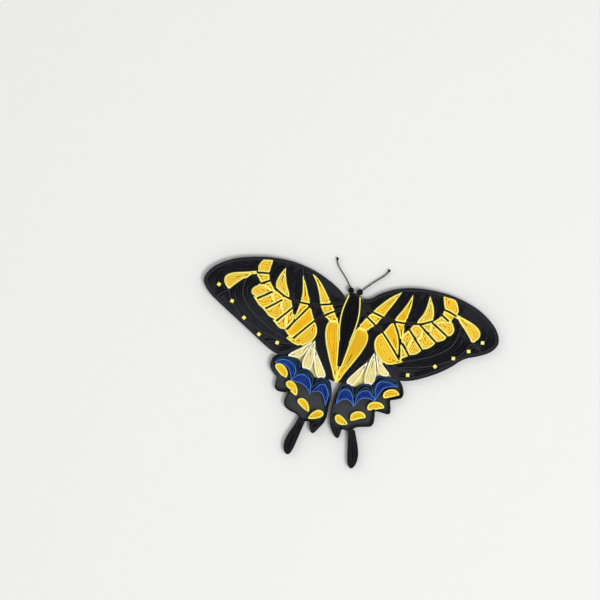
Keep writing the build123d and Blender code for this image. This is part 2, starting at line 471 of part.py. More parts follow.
def wound_coils(name, shapes, coils, across, seat=SEAT, strands=()):
    """Coils that stand on their edges, with the lines of their turns sunk into the tops."""
    with BuildPart() as wound:
        with BuildSketch(Plane.XY.offset(seat)):
            add(shapes)
        extrude(amount=STRIP_HEIGHT)
        turned = [turn_lines(coil, across) for coil in coils if coil.turns]
        turned += [band(route, across, TURN_GROOVE_WIDTH) for route in strands]
        if turned:
            with BuildSketch(Plane.XY.offset(seat + STRIP_HEIGHT)):
                add(turned)
            extrude(amount=-TURN_DEPTH, mode=Mode.SUBTRACT)
    write(wound, name)


def standing_strips(name, shapes, height=STRIP_HEIGHT, seat=SEAT):
    """Strips that stand on edge along their routes."""
    with BuildPart() as strips:
        with BuildSketch(Plane.XY.offset(seat)):
            add(shapes)
        extrude(amount=height)
    write(strips, name)


def eye_coil(name, place):
    """A tight round coil beside the head, with its middle turns sunk below the outer ones."""
    with BuildPart() as eye:
        with BuildSketch(Plane.XY.offset(SEAT)):
            with Locations(place):
                Circle(EYE_RADIUS)
        extrude(amount=STRIP_HEIGHT)
        with BuildSketch(Plane.XY.offset(TOP)):
            with Locations(place):
                Circle(EYE_RADIUS - EYE_TURN_WIDTH)
        extrude(amount=-TURN_DEPTH, mode=Mode.SUBTRACT)
    write(eye, name)


def head_tab(place):
    """The back sheet under an eye coil, with a neck to the middle of the body."""
    half_neck = Vector(EYE_RADIUS / 2, 0)
    root = placed([NECK_ROOT], 1)[0]
    with BuildSketch(mode=Mode.PRIVATE) as drawing:
        with Locations(place):
            Circle(EYE_RADIUS)
        with BuildLine():
            Polyline(place - half_neck, place + half_neck, root + half_neck, root - half_neck, close=True)
        make_face()
    return drawing.sketch


os.makedirs("parts", exist_ok=True)

taken = [grown(patch(ABDOMEN.corners), FIT)]
wound_coils("abdomen_coil", [patch(ABDOMEN.corners)], [ABDOMEN], 1)

for side, across, pattern in (("right", 1, RIGHT), ("left", -1, LEFT)):
    forewing_route = band(pattern["forewing_rim"], across, FOREWING_RIM_WIDTH, FOREWING_CORNER_CUTS)
    forewing_rim = settled(forewing_route, taken)
    hindwing_rim = settled(band(pattern["hindwing_rim"], across, HINDWING_RIM_WIDTH), taken)
    standing_strips(f"{side}_forewing_rim", forewing_rim)
    standing_strips(f"{side}_hindwing_rim", hindwing_rim)

    eye_place = placed([pattern["eye"]], across)[0]
    with BuildSketch(mode=Mode.PRIVATE) as eye_room:
        with Locations(eye_place):
            Circle(EYE_RADIUS + FIT)
    taken.append(eye_room.sketch)
    eye_coil(f"{side}_eye_coil", eye_place)

    with BuildSketch(mode=Mode.PRIVATE) as feeler:
        add(band(pattern["antenna"], across, ANTENNA_WIDTH))
        with Locations(placed(pattern["antenna"][-1:], across)[0]):
            Circle(CLUB_RADIUS)
    standing_strips(f"{side}_antenna", settled(feeler.sketch, taken), ANTENNA_HEIGHT, 0)

    side_strip = settled(band(pattern["side_strip"], across, SIDE_STRIP_WIDTH), taken)
    standing_strips(f"{side}_side_strip", side_strip)

    veins = [settled(band(route, across, VEIN_WIDTH), taken) for route in pattern["veins"]]
    standing_strips(f"{side}_forewing_veins", veins)

    for name in LAYING_ORDER:
        coils = pattern[name]
        strands = pattern["strands"].get(name, [])
        wound_coils(f"{side}_{name}", laid(coils, across, taken), coils, across, strands=strands)

    cream_ground = fitted(patch(pattern["cream_ground"], across), taken)
    standing_strips(f"{side}_cream_ground", cream_ground, TINTED_SHEET_THICKNESS)
    cream_coils = pattern["cream_coils"]
    wound_coils(f"{side}_cream_coils", laid(cream_coils, across, taken), cream_coils, across, CREAM_SEAT)

    with BuildPart() as diamonds:
        for x, y, turn in pattern["diamonds"]:
            with BuildSketch(Plane.XY.offset(TOP)):
                with Locations(placed([(x, y)], across)[0]):
                    Rectangle(DIAMOND_SIDE, DIAMOND_SIDE, rotation=across * turn)
        extrude(amount=DIAMOND_THICKNESS)
    write(diamonds, f"{side}_forewing_diamonds")

with BuildPart() as base_sheet:
    with BuildSketch():
        add(patch(BODY_SHEET))
        for across, pattern in ((1, RIGHT), (-1, LEFT)):
            forewing = pattern["forewing_rim"] + pattern["forewing_root"]
            add(patch(forewing, across, FOREWING_CORNER_CUTS))
            add(patch(pattern["hindwing_rim"] + pattern["hindwing_top"], across))
            add(patch(pattern["tail_coil"][0].corners, across))
            add(head_tab(placed([pattern["eye"]], across)[0]))
    extrude(amount=SHEET_THICKNESS)
write(base_sheet, "base_sheet")
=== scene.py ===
"""Quilled paper butterfly: wound paper strips on edge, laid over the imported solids.

Lengths are in millimetres, and MM turns them into metres where they reach Blender.
"""

import math
import random

import bpy
import numpy as np
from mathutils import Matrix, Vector
from mathutils.geometry import tessellate_polygon


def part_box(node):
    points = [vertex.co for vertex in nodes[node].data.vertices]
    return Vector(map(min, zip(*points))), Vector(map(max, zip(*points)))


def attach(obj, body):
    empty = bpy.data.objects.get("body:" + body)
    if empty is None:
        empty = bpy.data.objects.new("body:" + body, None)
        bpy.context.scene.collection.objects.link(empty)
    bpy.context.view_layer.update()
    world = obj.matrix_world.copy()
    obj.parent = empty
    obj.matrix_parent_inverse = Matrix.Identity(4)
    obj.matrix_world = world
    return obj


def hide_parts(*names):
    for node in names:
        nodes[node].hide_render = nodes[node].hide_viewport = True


MM = 0.001

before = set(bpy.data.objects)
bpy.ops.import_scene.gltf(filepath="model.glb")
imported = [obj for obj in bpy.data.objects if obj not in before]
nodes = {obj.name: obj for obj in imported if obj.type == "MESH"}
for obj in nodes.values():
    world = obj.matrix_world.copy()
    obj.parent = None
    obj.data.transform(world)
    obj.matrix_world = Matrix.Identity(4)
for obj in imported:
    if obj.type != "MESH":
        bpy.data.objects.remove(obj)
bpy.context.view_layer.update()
rng = random.Random(41)
SIDES = ("left", "right")


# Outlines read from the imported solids

TINY = 1e-9
PLACE_DIGITS = 3
FLOOR_SLACK = 0.005
SMALLEST_OUTLINE = 0.02
SAME_PLACE = 1e-3
STRAIGHT_TURN = 1e-4
CORNER_BEND = math.cos(math.radians(40))
PINCH_BEND = math.cos(math.radians(105))
CUT_SHARE = 0.33
CORNER_CUT = 0.3
COIL_ROUNDS = 3
SHEET_ROUNDS = 2


def node_outlines(name):
    """The closed outlines of a node's underside in millimetres, with its lowest and highest z."""
    mesh = nodes[name].data
    low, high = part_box(name)
    floor, top = low.z / MM, high.z / MM
    places = {}
    edges = {}
    for face in mesh.polygons:
        corners = [mesh.vertices[i].co / MM for i in face.vertices]
        if max(c.z for c in corners) > floor + FLOOR_SLACK:
            continue
        keys = []
        for corner in corners:
            key = (round(corner.x, PLACE_DIGITS), round(corner.y, PLACE_DIGITS))
            places[key] = (corner.x, corner.y)
            keys.append(key)
        for a, b in zip(keys, keys[1:] + keys[:1]):
            if a == b:
                continue
            if (b, a) in edges:
                del edges[(b, a)]
            else:
                edges[(a, b)] = True
    following = {}
    for a, b in edges:
        following.setdefault(a, []).append(b)
    outlines = []
    while following:
        start = next(iter(following))
        loop = [start]
        here = start
        while True:
            there = following[here].pop()
            if not following[here]:
                del following[here]
            if there == start:
                break
            loop.append(there)
            here = there
        points = np.array([places[key] for key in loop])
        points = without_straights(points)
        if len(points) > 2 and abs(area_of(points)) > SMALLEST_OUTLINE:
            outlines.append(points if area_of(points) > 0 else points[::-1])
    return outlines, floor, top


def area_of(loop):
    """Signed area of a closed loop."""
    x, y = loop[:, 0], loop[:, 1]
    return 0.5 * float(np.sum(x * np.roll(y, -1) - y * np.roll(x, -1)))


def without_straights(loop):
    """A loop without doubled points and points on straight runs."""
    kept = []
    n = len(loop)
    for i in range(n):
        before, here, after = loop[i - 1], loop[i], loop[(i + 1) % n]
        one, two = here - before, after - here
        if np.hypot(*one) < SAME_PLACE:
            continue
        turn = abs(one[0] * two[1] - one[1] * two[0])
        if turn > STRAIGHT_TURN * (np.hypot(*one) * np.hypot(*two) + TINY) or one @ two < 0:
            kept.append(here)
    return np.array(kept) if len(kept) > 2 else loop


def softened(loop, rounds=COIL_ROUNDS):
    """A loop whose facets run into curves, while its corners are only eased and its pinches stay."""
    for _ in range(rounds):
        out = []
        n = len(loop)
        for i in range(n):
            before, here, after = loop[i - 1], loop[i], loop[(i + 1) % n]
            one, two = here - before, after - here
            first, second = np.hypot(*one) + TINY, np.hypot(*two) + TINY
            bend = one @ two / (first * second)
            if bend < PINCH_BEND:
                out.append(here)
                continue
            cut = CUT_SHARE * min(first, second)
            if bend < CORNER_BEND:
                cut = min(cut, CORNER_CUT)
            out.append(here - one / first * cut)
            out.append(here + two / second * cut)
        loop = np.array(out)
    return loop


# Room between the coils, shared out among them on one grid that holds the whole butterfly

GRID_STEP = 0.07
GRID_CORNER = np.array([-60.0, -50.0])
FAR_OUTSIDE = -9.0
FIXED_GAP = 0.17
HALF_GAP = 0.012
GROWN_STEP = 0.05
GROWN_EASE = 0.07
LOOP_SLACK = 0.006
NO_LIMIT = 10 ** 6


def shared_out(names, fixed, reach, inside, pressed=(), pressed_reach=0.0):
    """The outline of each coil grown into the narrow gaps beside it, as far as half way to the next.

    It grows by reach at most, or by pressed_reach where its neighbour is one of the nodes in pressed.
    It stays FIXED_GAP away from the nodes in fixed, which don't grow, and inside the node named inside.
    """
    loops = []
    for name in list(names) + list(fixed):
        for outline in grown_outlines.get(name) or [softened(row) for row in node_outlines(name)[0]]:
            loops.append((name, outline))
    margin = 2 * max(reach, pressed_reach)
    fields = []
    for name, loop in loops:
        low = np.floor((loop.min(0) - margin - GRID_CORNER) / GRID_STEP).astype(int)
        high = np.ceil((loop.max(0) + margin - GRID_CORNER) / GRID_STEP).astype(int)
        fields.append((low, high, grid_distance(thinned_loop(loop), low, high)))
    size = np.max([high for _, high, _ in fields], 0) + 2
    best, second, third = (np.full((size[1], size[0]), FAR_OUTSIDE) for _ in range(3))
    owner, follower = (np.full((size[1], size[0]), -1) for _ in range(2))
    for index, (low, high, field) in enumerate(fields):
        part = (slice(low[1], high[1] + 1), slice(low[0], high[0] + 1))
        first, next_, own, after = best[part], second[part], owner[part], follower[part]
        wins = field > first
        third[part] = np.where(field > next_, next_, np.maximum(third[part], field))
        follower[part] = np.where(wins, own, np.where(field > next_, index, after))
        second[part] = np.where(wins, first, np.maximum(next_, field))
        owner[part] = np.where(wins, index, own)
        best[part] = np.where(wins, field, first)
    whole = thinned_loop(softened(node_outlines(inside)[0][0], SHEET_ROUNDS))
    presses = np.array([name in pressed for name, _ in loops] + [False])
    stays = np.array([name in fixed for name, _ in loops] + [False])
    outlines = {name: [] for name in names}
    for index, (low, high, field) in enumerate(fields):
        name = loops[index][0]
        if name not in outlines:
            continue
        part = (slice(low[1], high[1] + 1), slice(low[0], high[0] + 1))
        mine = owner[part] == index
        other = np.where(mine, second[part], best[part])
        beside = np.where(mine, follower[part], owner[part])
        far = np.where(presses[beside], pressed_reach, reach)
        claimed = mine | (stays[owner[part]] & (follower[part] == index))
        beside_fixed = np.minimum(-other - FIXED_GAP, (field - third[part]) / 2)
        limit = np.where(stays[beside] & claimed, beside_fixed, (field - other) / 2)
        room = np.minimum(field + far, limit)
        room = np.minimum(room, grid_distance(whole, low, high))
        grown = contours((room, GRID_CORNER + GRID_STEP * low, GRID_STEP), HALF_GAP)
        if grown:
            loop = max(grown, key=area_of)
            loop = rounded(evenly(loop, GROWN_STEP), GROWN_EASE, GROWN_STEP)
            outlines[name].append(thinned_loop(loop))
    return outlines


def thinned_loop(loop, slack=LOOP_SLACK):
    """A closed loop without the points that its neighbours don't need."""
    far = int(np.argmax(np.hypot(*(loop - loop[0]).T)))
    first = loop[: far + 1][thinned(loop[: far + 1], slack, NO_LIMIT)]
    back = np.vstack([loop[far:], loop[:1]])
    second = back[thinned(back, slack, NO_LIMIT)]
    return np.vstack([first[:-1], second[:-1]])


def grid_distance(loop, low, high):
    """Signed distance to a loop at the shared grid's own points, positive inside."""
    xs = GRID_CORNER[0] + GRID_STEP * np.arange(low[0], high[0] + 1)
    ys = GRID_CORNER[1] + GRID_STEP * np.arange(low[1], high[1] + 1)
    return signed_distance(loop, xs, ys)


# Turns drawn from the distance to the outline, and the one strip that runs through them

PATH_STEP = 0.06
FEWEST_POINTS = 8
SHORTEST_WALK = 5
TINY_SQUARE = 1e-12
TINY_RUN = 1e-6
BEND_REACH = 0.45
LONGEST_RUN = 14
PINCH_ROOM = 0.6
SHORTEST_TURN = 1.6
SMALL_TURN = 8
LEAST_MIDDLE = 0.3
MOST_ROUNDING = 0.9
PITCH_SPREAD = (0.92, 1.1)
CHAIN_REACH = 2.2
ALIKE_SHARE = 0.5
EDGE_GAP = 0.01
WIDTH_SMOOTHING = 6
DRIFT = 0.16
LAST_TURN_SHARE = 0.9


def distance_field(loop, step):
    """Distance to a loop on a grid, positive inside."""
    low = loop.min(0) - 2 * step
    size = np.ceil((loop.max(0) + 2 * step - low) / step).astype(int) + 1
    xs = low[0] + step * np.arange(size[0])
    ys = low[1] + step * np.arange(size[1])
    return signed_distance(loop, xs, ys), low, step


def signed_distance(loop, xs, ys):
    """Distance to a loop at each crossing of two rows of places, positive inside."""
    px, py = (g.ravel() for g in np.meshgrid(xs, ys))
    best = np.full(len(px), np.inf)
    inside = np.zeros(len(px), bool)
    for a, b in zip(loop, np.roll(loop, -1, 0)):
        ex, ey = b - a
        wx, wy = px - a[0], py - a[1]
        share = np.clip((wx * ex + wy * ey) / max(ex * ex + ey * ey, TINY_SQUARE), 0, 1)
        best = np.minimum(best, (wx - share * ex) ** 2 + (wy - share * ey) ** 2)
        if ey != 0:
            spans = (a[1] > py) != (b[1] > py)
            inside ^= spans & (wx < ex * wy / ey)
    far = np.sqrt(best)
    return np.where(inside, far, -far).reshape(len(ys), len(xs))


def contours(field, level):
    """Closed lines where a distance field has one value, counterclockwise, in millimetres."""
    grid, low, step = field
    above = grid > level
    rows, cols = np.nonzero(
        (above[:-1, :-1] != above[:-1, 1:])
        | (above[1:, :-1] != above[1:, 1:])
        | (above[:-1, :-1] != above[1:, :-1])
    )
    links = {}
    for r, c in zip(rows.tolist(), cols.tolist()):
        a, b = above[r, c], above[r, c + 1]
        d, e = above[r + 1, c], above[r + 1, c + 1]
        cut = []
        if a != b:
            cut.append((0, r, c))
        if b != e:
            cut.append((1, r, c + 1))
        if d != e:
            cut.append((0, r + 1, c))
        if a != d:
            cut.append((1, r, c))
        if len(cut) == 2:
            pairs = [cut]
        else:
            middle = grid[r, c] + grid[r, c + 1] + grid[r + 1, c] + grid[r + 1, c + 1] > 4 * level
            joined = middle == bool(a)
            ends = (1, 2, 3) if joined else (3, 1, 2)
            pairs = [(cut[0], cut[ends[0]]), (cut[ends[1]], cut[ends[2]])]
        for one, two in pairs:
            links.setdefault(one, []).append(two)
            links.setdefault(two, []).append(one)
    loops = []
    while links:
        start = next(iter(links))
        walk = [start]
        here = start
        while True:
            nexts = links.get(here)
            if not nexts:
                break
            there = nexts.pop()
            if not nexts:
                del links[here]
            back = links.get(there)
            if back and here in back:
                back.remove(here)
                if not back:
                    del links[there]
            if there == start:
                break
            walk.append(there)
            here = there
        if len(walk) < SHORTEST_WALK:
            continue
        points = []
        for kind, r, c in walk:
            v = grid[r, c]
            w = grid[r, c + 1] if kind == 0 else grid[r + 1, c]
            share = (level - v) / (w - v)
            points.append((c + share, r) if kind == 0 else (c, r + share))
        loop = low + step * np.array(points)
        loops.append(loop if area_of(loop) > 0 else loop[::-1])
    return loops


def evenly(loop, gap):
    """A closed loop with its points at equal distances."""
    closed = np.vstack([loop, loop[:1]])
    run = np.concatenate([[0], np.cumsum(np.hypot(*np.diff(closed, axis=0).T))])
    count = max(FEWEST_POINTS, int(round(run[-1] / gap)))
    at = np.linspace(0, run[-1], count, endpoint=False)
    return np.column_stack([np.interp(at, run, closed[:, 0]), np.interp(at, run, closed[:, 1])])


def rounded(loop, reach, gap):
    """A closed even loop with its bends relaxed over a reach in millimetres."""
    if reach <= 0:
        return loop
    wave = np.fft.fftfreq(len(loop), gap)
    keep = np.exp(-2 * (math.pi * wave * reach) ** 2)[:, None]
    return np.real(np.fft.ifft(np.fft.fft(loop, axis=0) * keep, axis=0))


def sharpest(loop, gap):
    """Where an even loop turns most within a short reach."""
    reach = max(1, int(BEND_REACH / gap))
    one = loop - np.roll(loop, reach, 0)
    two = np.roll(loop, -reach, 0) - loop
    flat = np.sum(one * two, 1) / (np.hypot(*one.T) * np.hypot(*two.T) + TINY)
    return int(np.argmin(flat))


def thinned(path, slack, longest=LONGEST_RUN):
    """A path without the points that lie within slack of the line through their neighbours."""
    keep = np.zeros(len(path), bool)
    keep[0] = keep[-1] = True
    stack = [(0, len(path) - 1)]
    while stack:
        first, last = stack.pop()
        if last - first < 2:
            continue
        run = path[last] - path[first]
        length = np.hypot(*run)
        between = path[first + 1:last] - path[first]
        if length < TINY_RUN:
            off = np.hypot(*between.T)
        else:
            off = np.abs(run[0] * between[:, 1] - run[1] * between[:, 0]) / length
        worst = int(np.argmax(off))
        if off[worst] > slack or last - first > longest:
            middle = first + 1 + worst if off[worst] > slack else (first + last) // 2
            keep[middle] = True
            stack += [(first, middle), (middle, last)]
    return np.nonzero(keep)[0]


def local_width(grid, step):
    """Half the width of a shape around each place: the largest circle inside it that holds the place."""
    inner = grid[1:-1, 1:-1]
    ridge = np.zeros_like(inner, bool)
    for dy, dx in ((0, 1), (1, 0), (1, 1), (1, -1)):
        ahead = grid[1 + dy:grid.shape[0] - 1 + dy, 1 + dx:grid.shape[1] - 1 + dx]
        behind = grid[1 - dy:grid.shape[0] - 1 - dy, 1 - dx:grid.shape[1] - 1 - dx]
        ridge |= (inner >= ahead) & (inner >= behind)
    rows, cols = np.nonzero(ridge & (inner > step))
    width = np.maximum(grid, 0)
    for r, c in zip(rows + 1, cols + 1):
        reach = grid[r, c]
        n = int(reach / step)
        top, left = max(r - n, 0), max(c - n, 0)
        part = width[top:r + n + 1, left:c + n + 1]
        ys = (np.arange(part.shape[0]) + top - r)[:, None]
        xs = (np.arange(part.shape[1]) + left - c)[None, :]
        np.maximum(part, np.where(ys * ys + xs * xs <= n * n, reach, 0), out=part)
    for _ in range(WIDTH_SMOOTHING):
        for axis in (0, 1):
            width = (np.roll(width, 2, axis) + width + np.roll(width, -2, axis)) / 3
    return width


def winding_chains(outline, pitch, thickness, rounding, tight):
    """Chains of nested turns inside an outline, from the outermost two, which lie tight, inwards.

    The turns crowd together where the shape is narrow, so that most of them reach into a pinch.
    Each chain comes with the number of turns around its first one.
    """
    grid, low, step = distance_field(outline, GRID_STEP)
    deepest = float(grid.max())
    crowding = (PINCH_ROOM + deepest) / (PINCH_ROOM + local_width(grid, step))
    field = (grid * np.maximum(crowding, 1), low, step)
    levels = []
    level = thickness / 2 + EDGE_GAP
    while not levels or level < deepest - LEAST_MIDDLE * pitch:
        turns = []
        for loop in contours(field, level):
            if len(loop) * step < SHORTEST_TURN and levels:
                continue
            reach = min(rounding * len(levels) * pitch, MOST_ROUNDING)
            turns.append(rounded(evenly(loop, PATH_STEP), reach, PATH_STEP))
        if not turns:
            break
        levels.append(turns)
        level += (tight if len(levels) == 1 else pitch) * rng.uniform(*PITCH_SPREAD)
    chains = []
    open_chains = []
    for around, turns in enumerate(levels):
        waiting = sorted(turns, key=len, reverse=True)
        grown = []
        for turn in waiting:
            nearest = None
            for chain in open_chains:
                if any(chain is g for g in grown):
                    continue
                off = np.min(np.hypot(*(chain[-1] - turn[0]).T))
                small = len(chain[-1]) * PATH_STEP < SMALL_TURN
                alike = small or len(turn) > ALIKE_SHARE * len(chain[-1])
                if alike and off < CHAIN_REACH * pitch and (nearest is None or off < nearest[0]):
                    nearest = (off, chain)
            if nearest:
                nearest[1].append(turn)
                grown.append(nearest[1])
            else:
                chain = [turn]
                chains.append((around, chain))
                grown.append(chain)
        open_chains = grown
    return chains


def spiral(chain):
    """One strip's path through the nested turns of a chain, and the turn that each point is on."""
    path, turn_at = [], []
    start = sharpest(chain[0], PATH_STEP)
    for k, loop in enumerate(chain):
        loop = np.roll(loop, -start, 0)
        share = np.linspace(0, 1, len(loop), endpoint=False)
        if k + 1 < len(chain):
            inner = chain[k + 1]
            away = ((loop[:, None, :] - inner[None, :, :]) ** 2).sum(-1)
            nearest = inner[away.argmin(1)]
            ease = np.clip((share - (1 - DRIFT)) / DRIFT, 0, 1)
            ease = ease * ease * (3 - 2 * ease)
            piece = loop + (nearest - loop) * ease[:, None]
            start = int(away[0].argmin())
        else:
            piece = loop[: int(len(loop) * LAST_TURN_SHARE)]
        path.append(piece)
        turn_at += [k] * len(piece)
    return np.vstack(path), np.array(turn_at)


# Meshes

SECTION = 4
TOP_EDGE = 1
FOLDED_BACK = 0.3
STRIP_MITRE = 0.62
SLAB_MITRE = 0.5


class Pile:
    """Vertices and faces of one piece, gathered before its mesh is made."""

    def __init__(self):
        self.places = []
        self.faces = []
        self.slots = []

    def strip(self, path, thickness, bottom, tops, slots, wall):
        """A strip on edge along a path in millimetres, its top edge in slots and its sides in wall."""
        n = len(path)
        step = np.diff(path, axis=0)
        one = np.vstack([step[:1], step])
        two = np.vstack([step, step[-1:]])
        one /= np.hypot(*one.T)[:, None] + TINY
        two /= np.hypot(*two.T)[:, None] + TINY
        along = one + two
        size = np.hypot(*along.T)
        along = np.where(size[:, None] > FOLDED_BACK, along / (size[:, None] + TINY), one)
        across = np.column_stack([-along[:, 1], along[:, 0]])
        stretch = 1 / np.clip(np.sum(along * one, 1), STRIP_MITRE, 1)
        reach = across * (thickness / 2 * stretch)[:, None]
        base = len(self.places)
        for i in range(n):
            for side, z in ((-1, bottom), (-1, tops[i]), (1, tops[i]), (1, bottom)):
                x, y = path[i] + side * reach[i]
                self.places.append((x * MM, y * MM, z * MM))
        for i in range(n - 1):
            a, b = base + SECTION * i, base + SECTION * (i + 1)
            for j in range(SECTION):
                k = (j + 1) % SECTION
                self.faces.append((a + j, b + j, b + k, a + k))
                self.slots.append(slots[i] if j == TOP_EDGE else wall)
        last = base + SECTION * (n - 1)
        self.faces.append((base, base + 1, base + 2, base + 3))
        self.faces.append((last + 3, last + 2, last + 1, last))
        self.slots += [slots[0], slots[-1]]

    def slab(self, loop, bottom, top, slot=0, bevel=0.0):
        """A flat piece with a closed outline in millimetres, its top edge eased by a bevel."""
        rings = [(loop, bottom)]
        if bevel:
            rings += [(loop, top - bevel), (drawn_in(loop, bevel), top)]
        else:
            rings.append((loop, top))
        base = len(self.places)
        n = len(loop)
        for ring, z in rings:
            self.places += [(x * MM, y * MM, z * MM) for x, y in ring]
        for level in range(len(rings) - 1):
            for i in range(n):
                j = (i + 1) % n
                a, b = base + level * n, base + (level + 1) * n
                self.faces.append((a + i, a + j, b + j, b + i))
                self.slots.append(slot)
        last = base + (len(rings) - 1) * n
        for a, b, c in tessellate_polygon([[Vector((x, y, 0)) for x, y in loop]]):
            p, q, r = loop[a], loop[b], loop[c]
            turn = (q[0] - p[0]) * (r[1] - p[1]) - (q[1] - p[1]) * (r[0] - p[0])
            if turn < 0:
                a, c = c, a
            self.faces.append((last + a, last + b, last + c))
            self.faces.append((base + c, base + b, base + a))
            self.slots += [slot, slot]

    def piece(self, name, materials, node):
        """The finished object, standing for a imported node."""
        mesh = bpy.data.meshes.new(name)
        mesh.from_pydata(self.places, [], self.faces)
        for material in materials:
            mesh.materials.append(material)
        mesh.polygons.foreach_set("material_index", self.slots)
        mesh.validate()
        mesh.update()
        thing = bpy.data.objects.new(name, mesh)
        bpy.context.scene.collection.objects.link(thing)
        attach(thing, "root")
        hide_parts(node)


def drawn_in(loop, amount):
    """A loop moved inwards a little, with limited mitres."""
    one = loop - np.roll(loop, 1, 0)
    two = np.roll(loop, -1, 0) - loop
    one = one / (np.hypot(*one.T)[:, None] + TINY)
    two = two / (np.hypot(*two.T)[:, None] + TINY)
    along = one + two
    along /= np.hypot(*along.T)[:, None] + TINY
    across = np.column_stack([-along[:, 1], along[:, 0]])
    stretch = 1 / np.clip(np.sum(along * one, 1), SLAB_MITRE, 1)
    return loop + across * (amount * stretch)[:, None]


def wavering(count, size, reach):
    """Slow seeded ups and downs along a path, with one knot for each reach of its points."""
    knots = max(2, int(count / reach) + 2)
    values = [rng.uniform(-size, size) for _ in range(knots)]
    return np.interp(np.linspace(0, knots - 1, count), range(knots), values)


# A coil's heart: the lower slab that stands for the deeper paper between its inner turns, coloured like the
# strips' sides, which are painted shade in the yellow, cream and blue coils

HEART_STEP = 0.1
HEART_DEPTH = 0.6
HEART_SHARE = 0.5
HEART_INSET = 0.22
HEART_SLACK = 0.02
SMALLEST_CORE = 0.1
SMALLEST_HEART = 0.03
CREASE_SLOPE = 0.72
CREASE_SCALE = 0.4
CENTRE_SHARE = 0.8
CENTRE_ROOM = 0.1


def heart_loops(outline):
    """Where a coil is wide enough for its inner turns: its outline drawn in and then let out again.

    It is cut open along the creases, where small holes stay between the bends of the turns.
    """
    grid, low, step = distance_field(outline, HEART_STEP)
    width = min(HEART_DEPTH, HEART_SHARE * float(grid.max()))
    xs, ys = (low[k] + step * np.arange(grid.shape[1 - k]) for k in (0, 1))
    slopes = [(np.roll(grid, -2, axis) - np.roll(grid, 2, axis)) / (4 * step) for axis in (0, 1)]
    crease = (np.hypot(*slopes) - CREASE_SLOPE) * CREASE_SCALE
    crease = np.where(grid > CENTRE_SHARE * grid.max(), CENTRE_ROOM, crease)
    loops = []
    for core in contours((grid, low, step), width):
        if area_of(core) < SMALLEST_CORE:
            continue
        around = signed_distance(thinned_loop(core), xs, ys) + width - HEART_INSET
        parts = sorted(contours((np.minimum(around, crease), low, step), 0), key=area_of, reverse=True)
        kept = []
        for part in parts:
            holes = (signed_distance(k, part[:1, 0], part[:1, 1])[0, 0] > 0 for k in kept)
            if area_of(part) > SMALLEST_HEART and not any(holes):
                kept.append(thinned_loop(part, HEART_SLACK))
        loops += kept
    return loops


# Pieces, each standing for one node

STRIP_SLACK = 0.012
TOP_SLACK = 0.01
WAVE_REACH = 9
PAPER_BEVEL = 0.03
SQUARE_BEVEL = 0.08


def wound_piece(name, edges, wall, pitch, thickness, rounding=0.0, depths=(1,), sink=0.1, heart=0.0,
                tight=0.2):
    """The wound coils of a node, each chain of turns as one strip.

    A turn shows the first of edges until its count from the outline reaches the first of depths, and so on.
    The sides of the strips are in wall, as is the slab that lies heart lower than the coil's top. The edges
    are lighter than wall, painted light on the tops; in the yellow, cream and blue coils wall is painted
    shade.
    """
    outlines, floor, top = node_outlines(name)
    outlines = grown_outlines.get(name) or [softened(outline) for outline in outlines]
    pile = Pile()
    wall_slot = len(edges)
    for outline in outlines:
        if heart:
            for core in heart_loops(outline):
                # The heart takes the sides' colour: painted shade in the yellow, cream and blue coils.
                pile.slab(core, floor, top - heart, slot=wall_slot)
        for around, chain in winding_chains(outline, pitch, thickness, rounding, tight):
            path, turn_at = spiral(chain)
            keep = thinned(path, STRIP_SLACK)
            path, turn_at = path[keep], turn_at[keep]
            tops = top - TOP_SLACK - sink * 0.5 + wavering(len(path), sink * 0.5, WAVE_REACH)
            slots = [min(sum(t + around >= d for d in depths), wall_slot - 1) for t in turn_at]
            pile.strip(path, thickness, floor, tops, slots, wall_slot)
    pile.piece(name + "_turns", (*edges, wall), name)


def flat_piece(name, ending, material, rounds=SHEET_ROUNDS, bevel=0.0):
    """A node's flat pieces or plain strips in one material, their outlines softened in rounds."""
    outlines, floor, top = node_outlines(name)
    pile = Pile()
    for outline in outlines:
        pile.slab(softened(outline, rounds), floor, top, bevel=bevel)
    pile.piece(name + ending, (material,), name)


# Materials

BROAD_NOISE = (380, 3)
FIBRE_NOISE = (7000, 2)
TONE_SPAN = (0.35, 0.6)
BUMP_STRENGTH = 0.5
ROUGHNESS = 0.85


def paper(name, colour, dark=0.9, shine=0.2, bump=0.05, fibre=0.9):
    """Matt paper: slightly uneven in colour, with fine fibres in colour and bump."""
    material = bpy.data.materials.new(name)
    material.use_nodes = True
    tree = material.node_tree
    tree.nodes.clear()
    new = tree.nodes.new
    out = new("ShaderNodeOutputMaterial")
    shader = new("ShaderNodeBsdfPrincipled")
    tree.links.new(shader.outputs["BSDF"], out.inputs["Surface"])
    place = new("ShaderNodeTexCoord")
    mix = new("ShaderNodeMix")
    mix.data_type = "RGBA"
    mix.blend_type = "MULTIPLY"
    mix.inputs["Factor"].default_value = 1
    tree.links.new(mix.outputs["Result"], shader.inputs["Base Color"])
    shades = tuple(c * dark for c in colour)
    for (scale, detail), low, high, socket in (
        (BROAD_NOISE, shades, colour, "A"),
        (FIBRE_NOISE, (fibre,) * 3, (1.0,) * 3, "B"),
    ):
        noise = new("ShaderNodeTexNoise")
        noise.inputs["Scale"].default_value = scale
        noise.inputs["Detail"].default_value = detail
        tree.links.new(place.outputs["Object"], noise.inputs["Vector"])
        ramp = new("ShaderNodeValToRGB")
        for element, position, tone in zip(ramp.color_ramp.elements, TONE_SPAN, (low, high)):
            element.position = position
            element.color = (*tone, 1)
        tree.links.new(noise.outputs["Fac"], ramp.inputs["Fac"])
        tree.links.new(ramp.outputs["Color"], mix.inputs[socket])
    rise = new("ShaderNodeBump")
    rise.inputs["Strength"].default_value = BUMP_STRENGTH
    rise.inputs["Distance"].default_value = bump * MM
    tree.links.new(noise.outputs["Fac"], rise.inputs["Height"])
    tree.links.new(rise.outputs["Normal"], shader.inputs["Normal"])
    shader.inputs["Roughness"].default_value = ROUGHNESS
    shader.inputs["Specular IOR Level"].default_value = shine
    return material


